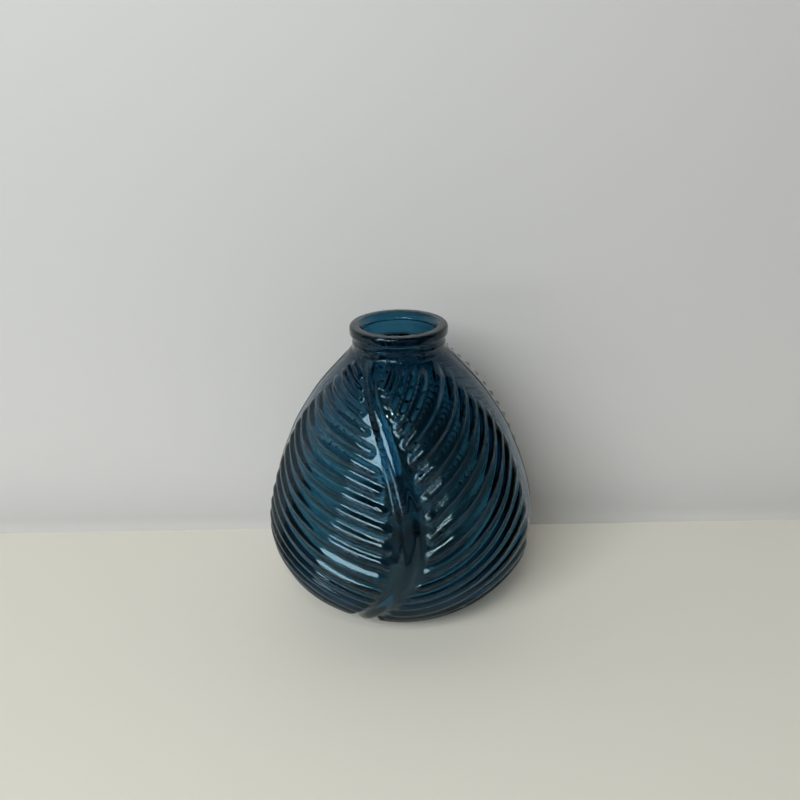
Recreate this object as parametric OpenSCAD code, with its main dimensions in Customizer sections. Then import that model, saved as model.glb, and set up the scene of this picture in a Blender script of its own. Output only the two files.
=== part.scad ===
// Glass bud vase with a raised leaf on its front and another on its back.
// Millimetres. The origin is on the table under the middle of the base, Z is up, and the front
// leaf faces -Y. One moulding of clear blue glass, divided into its regions.

/* [Body] */
// Overall height of the vase
vase_height = 121; // [109:1:133]
// Radius of the plain wall at its widest
body_radius = 57.5; // [52:0.5:62]
// Thickness of the wall half way up
wall = 1.7; // [1.4:0.1:2.6]
// Depth of the hollow under the base
push_up = 2; // [1.2:0.1:2.6]

/* [Mouth] */
// Radius of the straight throat
throat_radius = 14.8; // [13.4:0.1:15.4]
// Radius of the outside of the neck
neck_radius = 19.3; // [18.6:0.1:19.6]
// Radius of the flat-topped bead round the mouth
bead_radius = 20.4; // [20.1:0.1:21.4]
// Height of the thin ring that stands out from the neck
collar = 0.3; // [0.2:0.1:0.6]

/* [Leaf] */
// Height of a vein above the plain wall
vein_height = 1.3; // [0.8:0.1:1.8]
// Height of the midrib above the plain wall
midrib_height = 1.7; // [1.2:0.1:2.6]
// Part of the pitch that the groove between two veins takes
groove_share = 0.08; // [0.06:0.02:0.3]
// Height of the thin line that the mould leaves on each side
seam_height = 0.3; // [0.2:0.1:0.5]

/* [Hidden] */

// The neck and bead stand this high above the shoulder.
neck_rise = 10;
// Heights of the joints between the wall's regions, before the height is stretched.
root_z = 111;
shoulder_z = 88;
belly_z = 33;
floor_z = 4;
// The neck runs up this far to the bead, and the bead narrows down this far to the throat.
neck_length = 5.6;
lip_depth = 2.6;
// Where the bearing ring ends and the hollow under the base begins.
punt_radius = 28;
// The bearing ring's inner edge is rounded off this far in and this far up.
rest_inset = 1.5;
rest_lift = 0.6;
// The floor rises this much towards its middle.
floor_crown = 0.5;
// Half the width of the mould line at its foot.
seam_half = 0.45;
// Number of the lowest vein in the leaf's lists, counted from 0 under the neck.
last_vein = 18;
// Radii that the outlines below are drawn for: plain wall, its inside, neck and throat.
drawn_body = 57.5;
drawn_inside = 55.4;
drawn_neck = 19.3;
drawn_throat = 14.8;

stretch = (vase_height - neck_rise) / root_z;
glass = [0.10, 0.34, 0.47, 0.55];

// Outside of the plain wall as [radius, height], from the bearing ring up to the neck.
outer_points = [
    [33.0, 0], [35.6, 0.7], [38.9, 2.2], [41.5, floor_z], [46.0, 8], [49.8, 12], [52.7, 16.4],
    [55.0, 21.4], [56.8, 27], [57.5, belly_z], [57.3, 39], [56.2, 46], [54.2, 54], [51.6, 62],
    [48.4, 70], [44.5, 78.6], [38.8, shoulder_z], [34.7, 94], [30.6, 99], [26.9, 103],
    [23.7, 106.5], [21.5, 109], [20.3, 110.4], [19.3, root_z]
];
// Inside of the wall, from the floor up to the throat.
inner_points = [
    [34.0, floor_z], [39.3, 5.6], [43.7, 9], [47.3, 12.8], [51.2, 18.7], [54.3, 26],
    [55.4, belly_z], [55.1, 40], [53.6, 48], [51.4, 56], [48.5, 64], [45.2, 72], [41.2, 80],
    [36.0, shoulder_z], [31.4, 94], [26.6, 99], [22.3, 103], [18.8, 106], [16.0, 108.6],
    [14.8, root_z]
];

// Leaf: how high the veins lie, from the neck down, at four angles from the leaf's own front.
// Each list gives every third vein; the others are spaced smoothly between them.
right_angles = [-3, 22, 42, 70];
right_heights = [
    [112, 89.5, 71, 46, 34, 20, 7],
    [137, 113, 86, 62.5, 40.5, 23.5, 9],
    [150, 125, 97, 74.5, 51, 33, 15.5],
    [165, 135, 116, 95, 72, 46, 23]
];
left_angles = [3, 23, 48, 76];
left_heights = [
    [97, 84, 67, 47.5, 27.5, 10.5, -2],
    [100.5, 90, 72, 52.5, 32.5, 16.5, 4],
    [105, 94.5, 76.5, 59, 41, 24.5, 9.5],
    [110, 100.5, 86.5, 69.5, 50.5, 33, 14]
];
// Midrib from the neck down to the foot: [height, angle, half width].
midrib = [
    [109.6, -35, 1.6], [106, -27.5, 2.2], [102, -21, 2.6], [97, -15, 3.3], [92, -9.6, 3.9],
    [86, -5, 4.4], [79, -1, 4.8], [71, 2.2, 5.1], [63, 4.4, 5.2], [55, 5.7, 5.1],
    [47, 5.8, 4.9], [40, 5, 4.7], [33, 3, 4.4], [27, 0, 4.2], [21, -4, 4.0], [15, -9, 3.8],
    [9.5, -15, 3.4], [5, -21, 2.8]
];
// Where the veins end at the plain band, as [height, angle], on the right and on the left.
right_margin = [[76, 75], [88, 71], [98, 62], [110, 54]];
left_margin = [[66, 82], [88, 78], [100, 71], [110, 58]];
// Highest point that a vein reaches, and the narrowest angle worth a vein.
vein_top = 109;
shortest_vein = 4;

// Point at t between b and c on a smooth curve through a, b, c and d.
function blend(a, b, c, d, t) =
    0.5 * (2 * b + (c - a) * t + (2 * a - 5 * b + 4 * c - d) * t * t
        + (3 * b - a - 3 * c + d) * t * t * t);
function smooth(p, steps) = [
    for (i = [0 : len(p) - 2])
        for (s = [0 : steps - 1])
            blend(p[max(i - 1, 0)], p[i], p[i + 1], p[min(i + 2, len(p) - 1)], s / steps),
    p[len(p) - 1]
];
function reversed(p) = [for (i = [len(p) - 1 : -1 : 0]) p[i]];
// The stretch of a curve between two heights, both given before stretching.
function between(p, low, high) = [
    for (q = p)
        if (q[1] > low * stretch - 0.001 && q[1] < high * stretch + 0.001) q
];

// The outside keeps the neck's radius at its top and takes the body's radius at its widest.
function outer_fit(r) =
    neck_radius + (r - drawn_neck) * (body_radius - neck_radius) / (drawn_body - drawn_neck);
function inner_fit(r) =
    throat_radius + (r - drawn_throat) * (body_radius - wall - throat_radius)
        / (drawn_inside - drawn_throat);
outer_curve = smooth([for (p = outer_points) [outer_fit(p[0]), p[1] * stretch]], 4);
inner_curve = smooth([for (p = inner_points) [inner_fit(p[0]), p[1] * stretch]], 4);
outer_table = [for (p = outer_curve) [p[1], p[0]]];
floor_radius = inner_curve[0][0];

// Point on the wall at an angle from the front, lifted square off the wall by out.
function on_wall(angle, z, out) =
    let (slope = lookup(z + 0.5, outer_table) - lookup(z - 0.5, outer_table))
    let (lean = 1 / sqrt(1 + slope * slope))
    let (r = lookup(z, outer_table) + out * lean)
    [r * sin(angle), -r * cos(angle), z - out * slope * lean];

// Curve through four heights at four angles.
function share(x, xs, i, j) = i == j ? 1 : (x - xs[j]) / (xs[i] - xs[j]);
function through(x, xs, ys) =
    ys[0] * share(x, xs, 0, 1) * share(x, xs, 0, 2) * share(x, xs, 0, 3)
    + ys[1] * share(x, xs, 1, 0) * share(x, xs, 1, 2) * share(x, xs, 1, 3)
    + ys[2] * share(x, xs, 2, 0) * share(x, xs, 2, 1) * share(x, xs, 2, 3)
    + ys[3] * share(x, xs, 3, 0) * share(x, xs, 3, 1) * share(x, xs, 3, 2);
// Value for vein k of a list that holds every third vein, carried straight on past its ends.
function spaced(list, k) =
    k < 0 ? 2 * spaced(list, 0) - spaced(list, -k)
    : k > last_vein ? 2 * spaced(list, last_vein) - spaced(list, 2 * last_vein - k)
    : let (i = min(floor(k / 3), 5))
      blend(list[max(i - 1, 0)], list[i], list[i + 1], list[min(i + 2, 6)], k / 3 - i);
// Height of vein k at an angle x away from the leaf's front, on the side +1 or -1.
function vein_z(side, k, x) = stretch * (side > 0
    ? through(x, right_angles, [for (list = right_heights) spaced(list, k)])
    : through(x, left_angles, [for (list = left_heights) spaced(list, k)]));

midrib_angle = reversed([for (m = midrib) [m[0] * stretch, m[1]]]);
midrib_half = reversed([for (m = midrib) [m[0] * stretch, m[2]]]);
// Angle at which the veins start beside the midrib; the gutter widens on the upper right.
function gutter(side, z) = side > 0 ? lookup(z / stretch, [[85, 1.1], [100, 2.8]]) : 1.1;
function edge(side, z) =
    side * lookup(z, midrib_angle)
    + (lookup(z, midrib_half) + gutter(side, z)) / lookup(z, outer_table) * 180 / PI;
// Angle where vein k leaves the gutter, and where it reaches its tip, both found by halving.
function root_angle(side, k, low = -45, high = 60, n = 16) =
    let (x = (low + high) / 2)
    n == 0 ? x
    : x > edge(side, vein_z(side, k, x)) ? root_angle(side, k, low, x, n - 1)
    : root_angle(side, k, x, high, n - 1);
function tip_angle(side, k, low = -45, high = 90, n = 16) =
    let (x = (low + high) / 2)
    let (z = vein_z(side, k, x) / stretch)
    n == 0 ? x
    : z > vein_top || x > lookup(z, side > 0 ? right_margin : left_margin)
        ? tip_angle(side, k, low, x, n - 1)
    : tip_angle(side, k, x, high, n - 1);

// How far along a vein each of its sections is, with its width and its height there.
vein_sections = [
    [0, 0.35, 0.3], [0.03, 0.8, 0.85], [0.09, 1, 1], [0.24, 1, 1], [0.42, 1, 1],
    [0.6, 1, 1], [0.78, 0.95, 1], [0.92, 0.75, 0.9], [1, 0.2, 0.45]
];
// Section of a vein: part of the half width, and part of the height.
vein_outline = [[-1, -0.2], [-0.55, 0.6], [0, 1], [0.55, 0.6], [1, -0.2]];
midrib_outline = [
    [-1, -0.15], [-0.78, 0.34], [-0.4, 0.84], [0, 1], [0.4, 0.84], [0.78, 0.34], [1, -0.15]
];

// Solid through a list of rings that all have the same number of points.
module swept(rings, turned) {
    count = len(rings[0]);
    last = len(rings) - 1;
    sides = [
        for (i = [0 : last - 1])
            for (j = [0 : count - 1])
                let (a = i * count + j)
                let (b = i * count + (j + 1) % count)
                each [[a, b, b + count], [a, b + count, a + count]]
    ];
    ends = [
        [for (j = [count - 1 : -1 : 0]) j],
        [for (j = [0 : count - 1]) last * count + j]
    ];
    faces = concat(sides, ends);
    polyhedron(
        points = [for (ring = rings) each ring],
        faces = turned ? [for (f = faces) reversed(f)] : faces,
        convexity = 4
    );
}

module vein(side, k) {
    first = root_angle(side, k);
    last = tip_angle(side, k);
    fill = 0.5 - groove_share / 2;
    if (last - first > shortest_vein) {
        swept([
            for (s = vein_sections)
                let (x = first + (last - first) * s[0])
                let (z = vein_z(side, k, x))
                let (above = (vein_z(side, k - 1, x) - z) * fill * s[1])
                let (below = (z - vein_z(side, k + 1, x)) * fill * s[1])
                [
                    for (o = vein_outline)
                        on_wall(
                            side * x,
                            z + o[0] * (o[0] > 0 ? above : below),
                            o[1] < 0 ? o[1] * 1.5 : o[1] * vein_height * s[2]
                        )
                ]
        ], side < 0);
    }
}

module veins(side, turn) {
    color(glass)
        rotate([0, 0, turn])
            for (k = [0 : last_vein]) vein(side, side > 0 ? k : k - 1);
}

module midrib_ridge(turn) {
    color(glass)
        rotate([0, 0, turn])
            swept([
                for (m = midrib)
                    let (z = m[0] * stretch)
                    let (half = m[2] / lookup(z, outer_table) * 180 / PI)
                    let (rise = m[0] > 104 || m[0] < 6 ? 0.6 : 1)
                    [
                        for (o = midrib_outline)
                            on_wall(
                                m[1] + o[0] * half,
                                z,
                                o[1] < 0 ? o[1] * 2 : o[1] * midrib_height * rise
                            )
                    ]
            ], false);
}

module seam(angle) {
    color(glass)
        swept([
            for (z = [3, 6, 10, 15, 21, 27, 33, 40, 47, 54, 61, 68, 75, 82, 88, 93, 98, 103, 109])
                let (half = seam_half / lookup(z * stretch, outer_table) * 180 / PI)
                [
                    on_wall(angle + half, z * stretch, -0.2),
                    on_wall(angle + half * 0.3, z * stretch, seam_height),
                    on_wall(angle - half * 0.3, z * stretch, seam_height),
                    on_wall(angle - half, z * stretch, -0.2)
                ]
        ], true);
}

module turned(points) {
    color(glass) rotate_extrude($fn = 180) polygon(points);
}

// Shell of the wall between two heights.
module wall_band(low, high) {
    turned(concat(between(outer_curve, low, high), reversed(between(inner_curve, low, high))));
}

module lower_wall() wall_band(floor_z, belly_z);
module upper_wall() wall_band(belly_z, shoulder_z);
module shoulder() wall_band(shoulder_z, root_z);

// Ring that the vase stands on, up to the level of the floor inside.
module heel_ring() {
    turned(concat(
        [[punt_radius, rest_lift], [punt_radius + rest_inset, 0]],
        between(outer_curve, 0, floor_z),
        [[floor_radius, floor_z * stretch], [punt_radius, floor_z * stretch]]
    ));
}

// Floor inside the bearing ring, hollowed underneath.
module punt_floor() {
    turned([
        [0, push_up], [9, push_up * 0.94], [18, push_up * 0.72], [24, push_up * 0.48],
        [punt_radius, rest_lift], [punt_radius, floor_z * stretch],
        [15, floor_z * stretch + floor_crown * 0.75], [0, floor_z * stretch + floor_crown]
    ]);
}

// Neck with its straight throat and a thin ring half way up.
module neck() {
    z = root_z * stretch;
    turned([
        [throat_radius, z], [neck_radius, z], [neck_radius, z + 2.3],
        [neck_radius + collar, z + 2.6], [neck_radius + collar, z + 3.1],
        [neck_radius, z + 3.4], [neck_radius, z + neck_length], [throat_radius, z + neck_length]
    ]);
}

// Corner of the bead's outside, from one angle to another.
function bead_corner(round, below, low, high) = [
    for (i = [0 : 5])
        let (a = low + (high - low) * i / 5)
        [bead_radius - round + round * cos(a), vase_height - below + round * sin(a)]
];

// Flat-topped bead round the mouth, which narrows inside to an edge above the throat.
module mouth_bead() {
    z = root_z * stretch + neck_length;
    turned(concat(
        [[throat_radius, z], [neck_radius, z]],
        bead_corner(1.5, 3, -65, 0),
        bead_corner(1.3, 1.3, 0, 90),
        [
            [throat_radius + 1.9, vase_height], [throat_radius + 1.5, vase_height - 0.2],
            [throat_radius + 1.2, vase_height - 0.6], [throat_radius, vase_height - lip_depth]
        ]
    ));
}

module front_midrib() midrib_ridge(0);
module back_midrib() midrib_ridge(180);
module front_right_veins() veins(1, 0);
module front_left_veins() veins(-1, 0);
module back_right_veins() veins(1, 180);
module back_left_veins() veins(-1, 180);
module right_seam() seam(90);
module left_seam() seam(-90);

mouth_bead();
neck();
shoulder();
upper_wall();
lower_wall();
heel_ring();
punt_floor();
front_midrib();
front_right_veins();
front_left_veins();
back_midrib();
back_right_veins();
back_left_veins();
right_seam();
left_seam();
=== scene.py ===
"""Looks of the glass bud vase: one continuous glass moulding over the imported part, in metres."""

import math

import bmesh
import bpy
import numpy as np
from mathutils import Matrix, Vector


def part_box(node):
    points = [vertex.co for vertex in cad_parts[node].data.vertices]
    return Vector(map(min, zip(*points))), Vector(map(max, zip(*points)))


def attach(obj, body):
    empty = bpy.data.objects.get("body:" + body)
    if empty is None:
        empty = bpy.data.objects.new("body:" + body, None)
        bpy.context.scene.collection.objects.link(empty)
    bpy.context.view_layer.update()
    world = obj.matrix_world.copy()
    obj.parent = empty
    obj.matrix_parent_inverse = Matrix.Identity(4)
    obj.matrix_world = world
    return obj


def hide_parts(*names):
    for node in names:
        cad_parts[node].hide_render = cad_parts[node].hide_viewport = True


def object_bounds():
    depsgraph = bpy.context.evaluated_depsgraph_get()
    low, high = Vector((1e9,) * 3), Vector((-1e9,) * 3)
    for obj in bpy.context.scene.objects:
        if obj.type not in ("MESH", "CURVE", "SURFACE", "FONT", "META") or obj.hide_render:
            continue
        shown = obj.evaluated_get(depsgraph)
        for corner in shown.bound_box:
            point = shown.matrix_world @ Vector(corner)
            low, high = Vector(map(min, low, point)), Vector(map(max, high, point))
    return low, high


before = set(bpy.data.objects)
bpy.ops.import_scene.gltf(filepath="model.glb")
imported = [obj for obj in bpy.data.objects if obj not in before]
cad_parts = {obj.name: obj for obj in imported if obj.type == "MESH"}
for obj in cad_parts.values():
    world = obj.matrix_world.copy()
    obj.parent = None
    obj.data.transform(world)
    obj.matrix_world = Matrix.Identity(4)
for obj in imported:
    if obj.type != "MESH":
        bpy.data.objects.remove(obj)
cad_low, cad_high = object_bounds()

MM = 0.001
# Degrees in a radian.
DEGREES = 180 / math.pi

# ---------------------------------------------------------------- sizes, in millimetres
HEIGHT = cad_high.z / MM
# The ring round the neck: its height in the CAD, its height here, and where it lies on the neck.
COLLAR = 0.3
RING_HEIGHT = 0.2
RING_MIDDLE = 2.85
RING_HALF = 0.85
NECK_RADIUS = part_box("neck")[1].x / MM - COLLAR
BEAD_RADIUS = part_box("mouth_bead")[1].x / MM
ROOT_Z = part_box("neck")[0].z / MM
THROAT_RADIUS = 14.8
BODY_RADIUS = 57.5
# Thickness of the wall where the body is widest.
WALL = 1.7
# Depth of the hollow underneath, level of the floor inside, and how much the floor rises.
PUSH_UP = 2.0
FLOOR_Z = 4
FLOOR_CROWN = 0.5
FLOOR_RADIUS = 34
# Heights of the relief above the plain wall.
VEIN_HEIGHT = 1.35
MIDRIB_HEIGHT = 1.66
SEAM_HEIGHT = 0.26
# Part of the pitch that the groove between two veins takes.
GROOVE_SHARE = 0.04
# Higher values give a blunter ridge with steeper sides.
VEIN_BLUNTNESS = 1.3
MIDRIB_BLUNTNESS = 1.2
# How long a vein's rounded ends are, in half widths of the vein.
ROOT_ROUNDING = 1.0
TIP_ROUNDING = 2.6
# Part of the relief that shows again on the inside of the wall.
INSIDE_FOLLOWS = 0.3
# Highest point that a vein reaches, and the narrowest angle worth a vein.
VEIN_TOP = 109
SHORTEST_VEIN = 4
# Angle of the mould line from the front, and how near the plain band's columns come to it.
SEAM_ANGLE = 90
SEAM_CLEARANCE = 1
# Heights of the lowest and the highest row that carry relief.
LOWEST_ROW = 0.9
HIGHEST_ROW = 110.2

# Outside of the plain wall as (radius, height), from the bearing ring up to the neck.
OUTER_POINTS = (
    (33.0, 0), (35.6, 0.7), (38.9, 2.2), (41.5, 4), (46.0, 8), (49.8, 12), (52.7, 16.4),
    (55.0, 21.4), (56.8, 27), (57.5, 33), (57.3, 39), (56.2, 46), (54.2, 54), (51.6, 62),
    (48.4, 70), (44.5, 78.6), (38.8, 88), (34.7, 94), (30.6, 99), (26.9, 103),
    (23.7, 106.5), (21.5, 109), (20.3, 110.4), (19.3, 111),
)
# Inside of the wall, from the floor up to the throat.
INNER_POINTS = (
    (34.0, 4), (39.3, 5.6), (43.7, 9), (47.3, 12.8), (51.2, 18.7), (54.3, 26), (55.4, 33),
    (55.1, 40), (53.6, 48), (51.4, 56), (48.5, 64), (45.2, 72), (41.2, 80), (36.0, 88),
    (31.4, 94), (26.6, 99), (22.3, 103), (18.8, 106), (16.0, 108.6), (14.8, 111),
)
INNER_WIDEST = 55.4
# Height on the inside of the wall behind each height on its outside.
INSIDE_HEIGHTS = ((LOWEST_ROW, 12, 20, 100, HIGHEST_ROW), (6.0, 14.1, 20.8, 100, HIGHEST_ROW))
# Foot of the neck, as (distance out from the neck, height above its root).
NECK_FOOT = ((0.35, 0.02), (0.12, 0.14), (0, 0.42), (0, 1.0), (0, 1.9))
# Top of the neck, in the same way.
NECK_TOP = ((0, 4.3), (0, 5.3), (0.04, 5.5))
# The mouth from the rim down to the throat, as (radius, depth below the rim).
MOUTH_POINTS = (
    (18.2, 0), (17.2, 0), (16.8, 0.04), (16.58, 0.16), (16.2, 0.66), (15.7, 1.32), (15.2, 1.98),
    (15.0, 2.24), (14.88, 2.42), (14.83, 2.56),
)
THROAT_DEPTHS = (2.7, 3.4, 4.2, 5.5, 7.0, 8.5, 9.4)
# Where the inside of the wall turns into the floor, as (radius, height).
FLOOR_EDGE = ((39.3, 5.6), (36.6, 4.7))
# From the middle of the hollow underneath out to the bearing ring, as (radius, height).
UNDERSIDE_POINTS = (
    (0, PUSH_UP), (5, 1.97), (9, 1.88), (14, 1.67), (18, 1.44), (22, 1.15), (25, 0.9),
    (27, 0.72), (28, 0.58), (28.7, 0.32), (29.4, 0.1), (30.2, 0.02), (31.2, 0),
)
# Each list of vein heights holds every third vein, and runs as far as this vein.
LISTED_EVERY = 3
LAST_LISTED = 18
# Height of every third vein at four angles from the leaf's front, on each side.
VEINS = {
    1: (
        (-3, 22, 42, 70),
        (
            (112, 89.5, 71, 46, 34, 20, 7),
            (137, 113, 86, 62.5, 40.5, 23.5, 9),
            (150, 125, 97, 74.5, 51, 33, 15.5),
            (165, 135, 116, 95, 72, 46, 23),
        ),
    ),
    -1: (
        (3, 23, 48, 76),
        (
            (97, 84, 67, 47.5, 27.5, 10.5, -2),
            (100.5, 90, 72, 52.5, 32.5, 16.5, 4),
            (105, 94.5, 76.5, 59, 41, 24.5, 9.5),
            (110, 100.5, 86.5, 69.5, 50.5, 33, 14),
        ),
    ),
}
# Numbers of the highest and the lowest vein on each side.
FIRST_VEIN = {1: 0, -1: -1}
LAST_VEIN = {1: 18, -1: 17}
# Midrib from the neck down to the foot: height, angle, half width.
MIDRIB = np.array(
    (
        (109.6, -35, 1.6), (106, -27.5, 2.2), (102, -21, 2.6), (97, -15, 3.3), (92, -9.6, 3.9),
        (86, -5, 4.4), (79, -1, 4.8), (71, 2.2, 5.1), (63, 4.4, 5.2), (55, 5.7, 5.1),
        (47, 5.8, 4.9), (40, 5, 4.7), (33, 3, 4.4), (27, 0, 4.2), (21, -4, 4.0), (15, -9, 3.8),
        (9.5, -15, 3.4), (5, -21, 2.8),
    )
)[::-1]
# Where the veins end at the plain band, as height and angle, on each side.
MARGIN = {1: ((76, 88, 98, 110), (75, 71, 62, 54)), -1: ((66, 88, 100, 110), (82, 78, 71, 58))}
# Width of the flat gutter between the midrib and the ends of the veins.
GUTTER = {1: ((85, 100), (1.1, 2.8)), -1: ((85, 100), (1.1, 1.1))}


# ---------------------------------------------------------------- curves
def catmull(a, b, c, d, t):
    """Point at t between b and c on a smooth curve through a, b, c and d."""
    return 0.5 * (
        2 * b + (c - a) * t + (2 * a - 5 * b + 4 * c - d) * t**2 + (3 * b - a - 3 * c + d) * t**3
    )


def smooth_curve(points, steps):
    """A smooth curve through the points, with that many steps between two of them."""
    p = np.array(points, float)
    last = len(p) - 1
    made = [
        catmull(p[max(i - 1, 0)], p[i], p[i + 1], p[min(i + 2, last)], s / steps)
        for i in range(last)
        for s in range(steps)
    ]
    return np.array([*made, p[last]])


def length_along(curve):
    """Distance along the curve from its start to each of its points."""
    return np.concatenate([[0], np.cumsum(np.hypot(*np.diff(curve, axis=0).T))])


def eased(x, low, high):
    """0 below low, 1 above high, and a smooth step between them."""
    t = np.clip((x - low) / (high - low), 0, 1)
    return t * t * (3 - 2 * t)


OUTLINE_STEPS = 16
MIDRIB_STEPS = 8
wall_curve = smooth_curve(OUTER_POINTS, OUTLINE_STEPS)
inner_curve = smooth_curve(INNER_POINTS, OUTLINE_STEPS)
widening = (BODY_RADIUS - WALL - THROAT_RADIUS) / (INNER_WIDEST - THROAT_RADIUS)
inner_curve[:, 0] = THROAT_RADIUS + (inner_curve[:, 0] - THROAT_RADIUS) * widening
wall_s = length_along(wall_curve)
WALL_LENGTH = wall_s[-1]
smooth_midrib = smooth_curve(MIDRIB, MIDRIB_STEPS)


def wall_r(s):
    return np.interp(s, wall_s, wall_curve[:, 0])


def wall_z(s):
    return np.interp(s, wall_s, wall_curve[:, 1])


def s_at(z):
    return np.interp(z, wall_curve[:, 1], wall_s)


def midrib_angle(z):
    return np.interp(z, smooth_midrib[:, 0], smooth_midrib[:, 1])


def midrib_half(z):
    return np.interp(z, smooth_midrib[:, 0], smooth_midrib[:, 2])


SLOPE_REACH = 0.4


def lifted(r, z, s, out):
    """Radius and height, moved by out at right angles to the outside of the wall at s."""
    dr = wall_r(s + SLOPE_REACH) - wall_r(s - SLOPE_REACH)
    dz = wall_z(s + SLOPE_REACH) - wall_z(s - SLOPE_REACH)
    size = np.maximum(np.hypot(dr, dz), 1e-9)
    return r + out * dz / size, z - out * dr / size


def placed(angle, r, z):
    """Points at an angle from the front, a radius and a height."""
    a = angle / DEGREES
    return np.stack([r * np.sin(a), -r * np.cos(a), z], axis=-1)


def on_wall(angle, s, out):
    """Points on the wall at an angle from the front, lifted square off the wall by out."""
    return placed(angle, *lifted(wall_r(s), wall_z(s), s, out))


# ---------------------------------------------------------------- chart of the leaf
def spaced(values, k):
    """Value for vein k of a list that holds every third vein, carried straight on past its ends."""
    v = np.array(values, float)
    k = np.asarray(k, float)
    last = len(v) - 1
    before = k < 0
    after = k > LAST_LISTED
    inside = np.where(before, -k, np.where(after, 2 * LAST_LISTED - k, k))
    i = np.minimum((inside // LISTED_EVERY).astype(int), last - 1)
    t = inside / LISTED_EVERY - i
    made = catmull(v[np.maximum(i - 1, 0)], v[i], v[i + 1], v[np.minimum(i + 2, last)], t)
    return np.where(before, 2 * v[0] - made, np.where(after, 2 * v[last] - made, made))


def vein_z(side, k, x):
    """Height of vein k at an angle x away from the leaf's front, on the side +1 or -1."""
    angles, heights = VEINS[side]
    total = 0
    for i, list_of_heights in enumerate(heights):
        share = 1
        for j, other in enumerate(angles):
            if j != i:
                share = share * (x - other) / (angles[i] - other)
        total = total + share * spaced(list_of_heights, k)
    return total


def margin(side, z):
    """Angle at which the veins end at the plain band."""
    return np.interp(z, *MARGIN[side])


def edge(side, s):
    """Angle at which the veins start beside the midrib."""
    z = wall_z(s)
    across = midrib_half(z) + np.interp(z, *GUTTER[side])
    return side * midrib_angle(z) + across / wall_r(s) * DEGREES


CHART_STEP = 0.5
CHART_X = np.arange(-48, 90.01, CHART_STEP)
CHART_S = np.linspace(0, WALL_LENGTH, 700)
CHART_K = np.arange(-5, 26, 0.05)


def chart_of(side):
    """Vein number as a table over the angle and the distance up the wall."""
    heights = vein_z(side, CHART_K[None, :], CHART_X[:, None])
    # The table can be read only if the heights never rise with the number, so rises are held level.
    heights = np.minimum.accumulate(heights - CHART_K * 1e-4, axis=1)
    z = wall_z(CHART_S)
    return np.array([np.interp(z, row[::-1], CHART_K[::-1]) for row in heights])


CHART = {side: chart_of(side) for side in (1, -1)}


def vein_number(side, x, s):
    """The chart read between its lines."""
    i = np.clip((x - CHART_X[0]) / CHART_STEP, 0, len(CHART_X) - 1.001)
    j = np.clip(s / WALL_LENGTH * (len(CHART_S) - 1), 0, len(CHART_S) - 1.001)
    i0 = i.astype(int)
    j0 = j.astype(int)
    fi = i - i0
    fj = j - j0
    t = CHART[side]
    low = t[i0, j0] * (1 - fj) + t[i0, j0 + 1] * fj
    high = t[i0 + 1, j0] * (1 - fj) + t[i0 + 1, j0 + 1] * fj
    return low * (1 - fi) + high * fi


def vein_ends(side):
    """For each vein: root and tip as (angle, distance up the wall, direction in the surface)."""
    ends = {}
    ahead_by = 60
    x = np.arange(-45, 90, 0.02)
    for k in range(FIRST_VEIN[side], LAST_VEIN[side] + 1):
        z = vein_z(side, float(k), x)
        s = s_at(z)
        inside = (x > edge(side, s)) & (x < margin(side, z)) & (z < VEIN_TOP)
        if not inside.any():
            continue
        first = int(np.argmax(inside))
        past = np.flatnonzero(~inside[first:])
        last = first + int(past[0]) - 1 if len(past) else len(x) - 1
        if x[last] - x[first] < SHORTEST_VEIN:
            continue
        found = []
        for at, ahead in (
            (first, min(first + ahead_by, last)),
            (last, max(last - ahead_by, first)),
        ):
            across = (x[ahead] - x[at]) * wall_r(s[at]) / DEGREES
            up = s[ahead] - s[at]
            size = math.hypot(across, up)
            found.append((x[at], s[at], across / size, up / size))
        ends[k] = found
    return ends


ENDS = {side: vein_ends(side) for side in (1, -1)}


def vein_relief(side, x, s, k):
    """Height of the veins above the plain wall."""
    number = np.round(k)
    off = np.abs(k - number)
    step = 0.5
    pitch_up = 2 * step / np.maximum(
        np.abs(vein_number(side, x, s + step) - vein_number(side, x, s - step)), 1e-3
    )
    angle_step = 0.6
    slope = (
        (vein_number(side, x + angle_step, s) - vein_number(side, x - angle_step, s))
        * pitch_up / (2 * angle_step / DEGREES * wall_r(s))
    )
    pitch = pitch_up / np.sqrt(1 + slope**2)
    fill = 0.5 - GROOVE_SHARE / 2
    half = fill * pitch
    well_outside = 9.0
    outside = np.full(np.shape(x), well_outside)
    for n, (root, tip) in ENDS[side].items():
        here = number == n
        if not here.any():
            continue
        r = wall_r(s[here])
        b = off[here] / fill
        w = half[here]
        far = []
        for end, reach in ((root, ROOT_ROUNDING), (tip, TIP_ROUNDING)):
            a = (x[here] - end[0]) * r / DEGREES * end[2] + (s[here] - end[1]) * end[3]
            far.append(np.clip(1 - a / (w * reach), 0, None))
        outside[here] = np.sqrt(b**2 + np.maximum(far[0], far[1]) ** 2)
    dome = 0.5 + 0.5 * np.cos(math.pi * np.clip(outside, 0, 1) ** VEIN_BLUNTNESS)
    return VEIN_HEIGHT * dome


def midrib_relief(across, z):
    """Height of the rounded midrib at -1 to 1 across it, fading out at the foot and the neck."""
    dome = 0.5 + 0.5 * np.cos(math.pi * np.abs(across) ** MIDRIB_BLUNTNESS)
    fade = eased(z, 2.5, 8) * (1 - eased(z, 104, HIGHEST_ROW))
    return MIDRIB_HEIGHT * dome * fade


# ---------------------------------------------------------------- grid of the outside
# Rows across one vein, in parts of the pitch, and the numbers of all rows over the leaf.
ROW_PARTS = (-0.44, -0.38, -0.31, -0.23, -0.15, -0.07, 0, 0.07, 0.15, 0.23, 0.31, 0.38, 0.44, 0.5)
VEIN_ROWS = np.array([k + part for k in range(-1, 23) for part in ROW_PARTS])
ROW_OFFSET = {1: 0.0, -1: -1.0}
S_LOW = float(s_at(LOWEST_ROW))
S_HIGH = float(s_at(HIGHEST_ROW))


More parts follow.
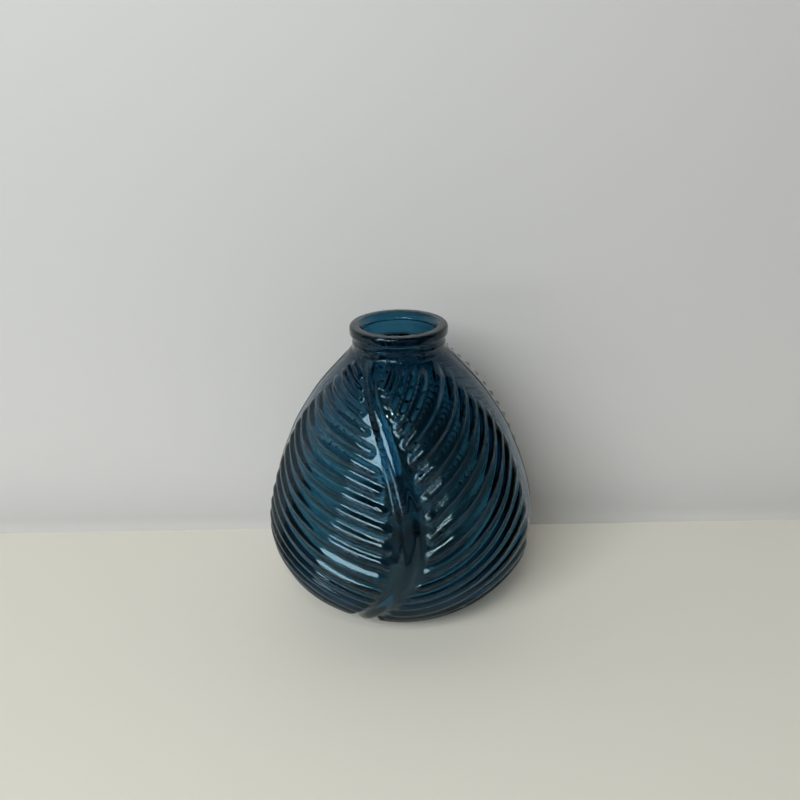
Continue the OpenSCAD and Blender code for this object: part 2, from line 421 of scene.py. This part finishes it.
def graded(total, near, step, far):
    """Parts of total: the near distances, then step apart, and far apart over the last stretch."""
    last_stretch = 9
    made = [0.0, *near]
    while made[-1] < total - last_stretch:
        made.append(made[-1] + step)
    rest = total - made[-1]
    count = max(int(round(rest / far)), 1)
    start = made[-1]
    made += [start + rest * (i + 1) / count for i in range(count)]
    return np.array(made) / total


# Columns beside the midrib, where the veins' rounded roots need the finest mesh.
NEAR = (0.22, 0.5, 0.85, 1.25, 1.7, 2.2, 2.8, 3.6, 4.7, 6.0, 7.5)
COLUMNS_TOTAL = 66
COLUMNS_STEP = 1.5
COLUMNS_LAST_STEP = 1.2


def side_columns(side):
    """Columns over the veins of one side, from the midrib out: angle, distance up and relief."""
    columns = []
    fine = np.linspace(S_LOW, S_HIGH, 1600)
    for w in graded(COLUMNS_TOTAL, NEAR, COLUMNS_STEP, COLUMNS_LAST_STEP):
        x = edge(side, fine) * (1 - w) + margin(side, wall_z(fine)) * w
        k = vein_number(side, x, fine)
        wanted = VEIN_ROWS + ROW_OFFSET[side]
        falling = np.minimum.accumulate(k - np.arange(len(k)) * 1e-7)
        s = np.interp(wanted, falling[::-1], fine[::-1])
        clamped = (wanted < falling[-1]) | (wanted > falling[0])
        x_here = edge(side, s) * (1 - w) + margin(side, wall_z(s)) * w
        number = np.where(clamped, vein_number(side, x_here, s), wanted)
        columns.append((side * x_here, s, vein_relief(side, x_here, s, number)))
    return columns


def blended(s_from, s_to, t):
    return s_from * (1 - t) + s_to * t


def half_columns():
    """Half a turn of columns, from the left margin round the front to the back leaf's margin."""
    left = side_columns(-1)[::-1]
    right = side_columns(1)
    s_left = left[-1][1]
    s_right = right[0][1]
    strip = []
    fractions = [-1, -0.95, -0.88, -0.78, -0.66, -0.52, -0.4, -0.27, -0.13, 0]
    fractions += [-f for f in fractions[-2::-1]]
    places = [(-1, 0.5), *[(f, 0) for f in fractions], (1, 0.5)]
    for i, (fraction, gutter_part) in enumerate(places):
        s = blended(s_left, s_right, (i + 1) / (len(places) + 1))
        z = wall_z(s)
        side = -1 if fraction < 0 else 1
        gutter = np.interp(z, *GUTTER[side]) * gutter_part
        across = midrib_half(z) * fraction + side * gutter
        angle = midrib_angle(z) + across / wall_r(s) * DEGREES
        lift = midrib_relief(fraction, z) if not gutter_part else np.zeros_like(z)
        strip.append((angle, s, lift))
    band = []
    s_end = left[0][1]
    s_start = right[-1][1]
    # Section of the mould line: distance across it, and part of its height.
    seam = [(-0.5, 0), (-0.3, 0.6), (-0.12, 1), (0.12, 1), (0.3, 0.6), (0.5, 0)]
    plan = [("before", t) for t in (0.06, 0.16, 0.32, 0.52, 0.74, 0.92)]
    plan += [("seam", part) for part in seam]
    plan += [("after", t) for t in (0.08, 0.26, 0.48, 0.68, 0.84, 0.94)]
    for i, (kind, part) in enumerate(plan):
        s = blended(s_start, s_end, (i + 1) / (len(plan) + 1))
        z = wall_z(s)
        lift = np.zeros_like(z)
        if kind == "before":
            angle = margin(1, z) * (1 - part) + (SEAM_ANGLE - SEAM_CLEARANCE) * part
        elif kind == "after":
            angle = (SEAM_ANGLE + SEAM_CLEARANCE) * (1 - part) + (180 - margin(-1, z)) * part
        else:
            angle = SEAM_ANGLE + part[0] / wall_r(s) * DEGREES
            lift = lift + SEAM_HEIGHT * part[1] * eased(z, 2, 5) * (1 - eased(z, 107, 110))
        band.append((angle, s, lift))
    return left + strip + right + band


# ---------------------------------------------------------------- closed mesh of the vase
def neck_and_bead():
    """Outside of the neck and the bead, then over the rim and down the throat."""
    r = NECK_RADIUS
    z = ROOT_Z
    rows = [(r + out, z + rise) for out, rise in NECK_FOOT]
    for t in np.linspace(-1, 1, 9):
        out = RING_HEIGHT * (0.5 + 0.5 * math.cos(math.pi * t))
        rows.append((r + out, z + RING_MIDDLE + RING_HALF * t))
    rows += [(r + out, z + rise) for out, rise in NECK_TOP]
    # The bead's two round corners: radius, depth of the centre, first angle and last angle.
    for corner, depth, first, last in ((1.5, 3.0, -65, 0), (1.3, 1.3, 0, 90)):
        for a in np.linspace(first, last, 8):
            out = BEAD_RADIUS - corner + corner * math.cos(a / DEGREES)
            rows.append((out, HEIGHT - depth + corner * math.sin(a / DEGREES)))
    rows += [(radius, HEIGHT - depth) for radius, depth in MOUTH_POINTS]
    rows += [(THROAT_RADIUS, HEIGHT - depth) for depth in THROAT_DEPTHS]
    return rows


def inside_of(angle, s, lift):
    """Inside of the wall behind a point of the outside, following its relief part of the way."""
    z = np.interp(wall_z(s), *INSIDE_HEIGHTS)
    r = np.interp(z, inner_curve[:, 1], inner_curve[:, 0])
    return placed(angle, *lifted(r, z, s, INSIDE_FOLLOWS * lift))


def floor_rows():
    """Inside of the floor, from the foot of the wall to the middle."""
    return [
        (r, FLOOR_Z + FLOOR_CROWN * (1 - (r / FLOOR_RADIUS) ** 2))
        for r in (FLOOR_RADIUS, 29, 23, 16, 9, 3, 0)
    ]


def vase_points():
    """All points of the vase in rings, in metres, from the middle underneath to the floor inside."""
    half = half_columns()
    angle = np.array([c[0] for c in half])
    s = np.array([c[1] for c in half])
    lift = np.array([c[2] for c in half])
    angle = np.concatenate([angle, angle + 180])
    s = np.concatenate([s, s])
    lift = np.concatenate([lift, lift])
    outside = on_wall(angle, s, lift)[:, ::-1]
    count = len(angle)
    low_angle = angle[:, -1]
    high_angle = angle[:, 0]

    def ring(r, z, at):
        return placed(at, r, np.full(count, z))

    even = np.linspace(0, 360, count, endpoint=False)
    even = even + (low_angle.mean() - even.mean())
    rows = [ring(r, z, low_angle) for r, z in UNDERSIDE_POINTS]
    for part in np.linspace(0, 1, 5)[:-1]:
        s_here = S_LOW * part
        rows.append(ring(wall_r(s_here), wall_z(s_here), low_angle))
    rows += [outside[:, i] for i in range(outside.shape[1])]
    top = float(s_at(110.95))
    for part in (0.5, 1.0):
        s_here = S_HIGH + (top - S_HIGH) * part
        rows.append(ring(wall_r(s_here), wall_z(s_here), high_angle))
    # The columns crowd at the midrib, so they are spread evenly over nine rows and back again.
    above = neck_and_bead()
    spread_over = 9
    for i, (r, z) in enumerate(above):
        t = min(i / spread_over, (len(above) - 1 - i) / spread_over, 1)
        rows.append(ring(r, z, high_angle * (1 - t) + even * t))
    inside = inside_of(angle, s, lift)[:, ::-1]
    rows += [inside[:, i] for i in range(inside.shape[1] - 1, -1, -2)]
    rows += [ring(r, z, low_angle) for r, z in (*FLOOR_EDGE, *floor_rows())]
    return np.array(rows) * MM


def vase_mesh():
    """One closed mesh through the rings, with its points in the middle and any doubles joined."""
    points = vase_points()
    row_count, count = points.shape[:2]
    mesh = bpy.data.meshes.new("vase_glass")
    build = bmesh.new()
    verts = [[build.verts.new(p) for p in row] for row in points]
    for i in range(row_count - 1):
        for j in range(count):
            j2 = (j + 1) % count
            build.faces.new((verts[i][j], verts[i][j2], verts[i + 1][j2], verts[i + 1][j]))
    bmesh.ops.remove_doubles(build, verts=build.verts, dist=2e-6)
    bmesh.ops.dissolve_degenerate(build, edges=build.edges, dist=1e-6)
    bmesh.ops.recalc_face_normals(build, faces=build.faces)
    for face in build.faces:
        face.smooth = True
    build.to_mesh(mesh)
    build.free()
    return mesh


# ---------------------------------------------------------------- materials
def new_material(name):
    """A material with nothing in it but its output: the material, its tree and that output."""
    made = bpy.data.materials.new(name)
    made.use_nodes = True
    tree = made.node_tree
    tree.nodes.clear()
    out = tree.nodes.new("ShaderNodeOutputMaterial")
    return made, tree, out


def glass_material():
    """Clear petrol-blue glass with a plain surface, whose colour comes from its thickness."""
    made, tree, out = new_material("petrol_blue_glass")
    link = tree.links.new
    shader = tree.nodes.new("ShaderNodeBsdfPrincipled")
    shader.inputs["Base Color"].default_value = (1, 1, 1, 1)
    shader.inputs["Transmission Weight"].default_value = 1
    shader.inputs["IOR"].default_value = 1.48
    shader.inputs["Specular Tint"].default_value = (0.6, 0.88, 1, 1)
    shader.inputs["Roughness"].default_value = 0.01
    volume = tree.nodes.new("ShaderNodeVolumeAbsorption")
    volume.inputs["Color"].default_value = (0.0, 0.45, 0.59, 1)
    volume.inputs["Density"].default_value = 700
    link(shader.outputs["BSDF"], out.inputs["Surface"])
    link(volume.outputs["Volume"], out.inputs["Volume"])
    return made


def matt_material(name, colour, other, scale):
    """Painted board: a plain colour with a soft mottling."""
    made, tree, out = new_material(name)
    link = tree.links.new
    shader = tree.nodes.new("ShaderNodeBsdfPrincipled")
    shader.inputs["Roughness"].default_value = 0.55
    coords = tree.nodes.new("ShaderNodeTexCoord")
    noise = tree.nodes.new("ShaderNodeTexNoise")
    noise.inputs["Scale"].default_value = scale
    link(coords.outputs["Object"], noise.inputs["Vector"])
    mix = tree.nodes.new("ShaderNodeMix")
    mix.data_type = "RGBA"
    mix.inputs[6].default_value = (*colour, 1)
    mix.inputs[7].default_value = (*other, 1)
    link(noise.outputs["Fac"], mix.inputs[0])
    link(mix.outputs[2], shader.inputs["Base Color"])
    link(shader.outputs["BSDF"], out.inputs["Surface"])
    return made


# ---------------------------------------------------------------- vase
vase = bpy.data.objects.new("vase_glass", vase_mesh())
bpy.context.scene.collection.objects.link(vase)
vase.data.materials.append(glass_material())
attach(vase, "root")
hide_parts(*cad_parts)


# ---------------------------------------------------------------- table, wall, light, camera
# Lengths are in metres from here on. The camera stands this many degrees round from the front leaf.
SWING = 3.0
swing = Matrix.Rotation(math.radians(SWING), 4, "Z")
TABLE_BACK = 0.039
BACK_WALL = 0.063
LEDGE_FRONT = 0.03
LEDGE_Z = -0.0145
ROOM_FLOOR = -0.7


def slab(name, low, high, material):
    """A box of the stage, turned to face the camera."""
    mesh = bpy.data.meshes.new(name)
    build = bmesh.new()
    bmesh.ops.create_cube(build, size=1)
    size = Vector(high) - Vector(low)
    middle = (Vector(high) + Vector(low)) / 2
    for v in build.verts:
        v.co = swing @ (Vector(a * b for a, b in zip(v.co, size)) + middle)
    build.to_mesh(mesh)
    build.free()
    made = bpy.data.objects.new(name, mesh)
    bpy.context.scene.collection.objects.link(made)
    made.data.materials.append(material)
    return made


def one_sided(material):
    """A sheet that shows only from its front, so that it never hides the vase from behind."""
    tree = material.node_tree
    out = next(n for n in tree.nodes if n.type == "OUTPUT_MATERIAL")
    shader = out.inputs["Surface"].links[0].from_node
    side = tree.nodes.new("ShaderNodeNewGeometry")
    clear = tree.nodes.new("ShaderNodeBsdfTransparent")
    mix = tree.nodes.new("ShaderNodeMixShader")
    tree.links.new(side.outputs["Backfacing"], mix.inputs["Fac"])
    tree.links.new(shader.outputs["BSDF"], mix.inputs[1])
    tree.links.new(clear.outputs["BSDF"], mix.inputs[2])
    tree.links.new(mix.outputs["Shader"], out.inputs["Surface"])
    return material


def sheet(name, corners, material):
    """A flat sheet of the stage, facing the camera's side."""
    mesh = bpy.data.meshes.new(name)
    mesh.from_pydata([tuple(swing @ Vector(c)) for c in corners], [], [(0, 1, 2, 3)])
    made = bpy.data.objects.new(name, mesh)
    bpy.context.scene.collection.objects.link(made)
    made.data.materials.append(material)
    return made


table_look = matt_material("table_paint", (0.68, 0.65, 0.57), (0.695, 0.665, 0.585), 6)
wall_look = one_sided(matt_material("wall_paint", (0.55, 0.535, 0.515), (0.57, 0.555, 0.535), 4))
ledge_look = matt_material("ledge_paint", (0.93, 0.93, 0.9), (0.95, 0.95, 0.92), 6)
floor_look = matt_material("floor_paint", (0.3, 0.3, 0.3), (0.33, 0.33, 0.33), 3)
slab("table_top", (-1.2, -0.2, -0.03), (1.2, TABLE_BACK, 0), table_look)
sheet(
    "back_wall",
    (
        (-2, BACK_WALL, ROOM_FLOOR), (2, BACK_WALL, ROOM_FLOOR),
        (2, BACK_WALL, 1.6), (-2, BACK_WALL, 1.6),
    ),
    wall_look,
)
sheet(
    "rear_ledge",
    (
        (-2, LEDGE_FRONT, LEDGE_Z), (2, LEDGE_FRONT, LEDGE_Z),
        (2, BACK_WALL, LEDGE_Z), (-2, BACK_WALL, LEDGE_Z),
    ),
    ledge_look,
)
slab("room_floor", (-3, -3, ROOM_FLOOR - 0.05), (3, 3, ROOM_FLOOR), floor_look)


def soft_light(name, place, target, size, power, colour):
    """A rectangle of light at a place, turned towards a target."""
    data = bpy.data.lights.new(name, "AREA")
    data.shape = "RECTANGLE"
    data.size, data.size_y = size
    data.energy = power
    data.color = colour
    made = bpy.data.objects.new(name, data)
    bpy.context.scene.collection.objects.link(made)
    made.location = place
    made.rotation_mode = "QUATERNION"
    made.rotation_quaternion = (Vector(target) - Vector(place)).to_track_quat("-Z", "Y")
    return made


def toward(around, above, distance, lift=0.06):
    """Place seen from the vase at an angle round from the camera and an angle above level."""
    a = around / DEGREES
    b = above / DEGREES
    flat = distance * math.cos(b)
    return (flat * math.sin(a), -flat * math.cos(a), lift + distance * math.sin(b))


VASE_MIDDLE = (0, 0, 0.06)
AWAY = 1.3
DAYLIGHT = (0.9, 0.96, 1)
LAMPLIGHT = (1, 0.95, 0.84)
soft_light("high_window", toward(-25, 34, AWAY), VASE_MIDDLE, (0.9, 0.52), 15.2, DAYLIGHT)
soft_light("low_window", toward(-38, 4, AWAY), VASE_MIDDLE, (0.6, 0.18), 1.5, DAYLIGHT)
soft_light("lamp", toward(-2, 52, AWAY), VASE_MIDDLE, (0.3, 0.035), 1.6, LAMPLIGHT)
# The fill light shows in no reflection, is not seen through the glass, and the vase doesn't block it.
fill = soft_light("fill", (0.5, -0.7, 1.3), (0.05, 0, 0), (0.7, 0.7), 1.8, (1, 0.96, 0.9))
fill.visible_glossy = False
fill.visible_transmission = False
clear_path = bpy.data.collections.new("clear_path")
clear_path.objects.link(vase)
fill.light_linking.blocker_collection = clear_path
clear_path.collection_objects[0].light_linking.link_state = "EXCLUDE"


def room_world():
    """Dark room with a pale wall to the front left and a dim pale band at eye level in front."""
    world = bpy.data.worlds.new("room")
    world.use_nodes = True
    tree = world.node_tree
    link = tree.links.new
    back = tree.nodes["Background"]
    coords = tree.nodes.new("ShaderNodeTexCoord")
    direction = coords.outputs["Generated"]
    parts = tree.nodes.new("ShaderNodeSeparateXYZ")
    link(direction, parts.inputs["Vector"])

    def eased_step(value, start, end, low, high):
        step = tree.nodes.new("ShaderNodeMapRange")
        step.interpolation_type = "SMOOTHSTEP"
        step.inputs["From Min"].default_value = start
        step.inputs["From Max"].default_value = end
        step.inputs["To Min"].default_value = low
        step.inputs["To Max"].default_value = high
        link(value, step.inputs["Value"])
        return step.outputs["Result"]

    def combined(operation, one, other):
        both = tree.nodes.new("ShaderNodeMath")
        both.operation = operation
        link(one, both.inputs[0])
        link(other, both.inputs[1])
        return both.outputs["Value"]

    towards = tree.nodes.new("ShaderNodeVectorMath")
    towards.operation = "DOT_PRODUCT"
    link(direction, towards.inputs[0])
    towards.inputs[1].default_value = toward(-60, 20, 1.0, 0)
    pale_wall = eased_step(towards.outputs["Value"], 0.55, 0.9, 0, 0.1)
    level = tree.nodes.new("ShaderNodeMath")
    level.operation = "ABSOLUTE"
    link(parts.outputs["Z"], level.inputs[0])
    band = eased_step(level.outputs["Value"], 0.1, 0.3, 0.35, 0)
    in_front = eased_step(parts.outputs["Y"], -0.9, -0.5, 1, 0)
    behind = eased_step(parts.outputs["Y"], 0, 0.9, 0.02, 0.5)
    total = combined("ADD", combined("MULTIPLY", band, in_front), pale_wall)
    link(combined("ADD", total, behind), back.inputs["Strength"])
    back.inputs["Color"].default_value = (0.97, 0.99, 1, 1)
    return world


bpy.context.scene.world = room_world()

camera_data = bpy.data.cameras.new("camera")
camera_data.sensor_width = 36
camera_data.lens = 38.25
CAMERA_PLACE = (0.00004, -0.334825, 0.227495)
camera = bpy.data.objects.new("camera", camera_data)
bpy.context.scene.collection.objects.link(camera)
PITCH = math.radians(22.829)
ROLL = math.radians(-1.0)
forward = Vector((0, math.cos(PITCH), -math.sin(PITCH)))
up = Vector((0, math.sin(PITCH), math.cos(PITCH)))
right = Vector((1, 0, 0))
tilted_right = right * math.cos(ROLL) + up * math.sin(ROLL)
tilted_up = up * math.cos(ROLL) - right * math.sin(ROLL)
turn_of_camera = Matrix((tilted_right, tilted_up, -forward)).transposed().to_4x4()
camera.matrix_world = swing @ Matrix.Translation(CAMERA_PLACE) @ turn_of_camera
bpy.context.scene.camera = camera
bpy.context.scene.view_settings.view_transform = "Standard"
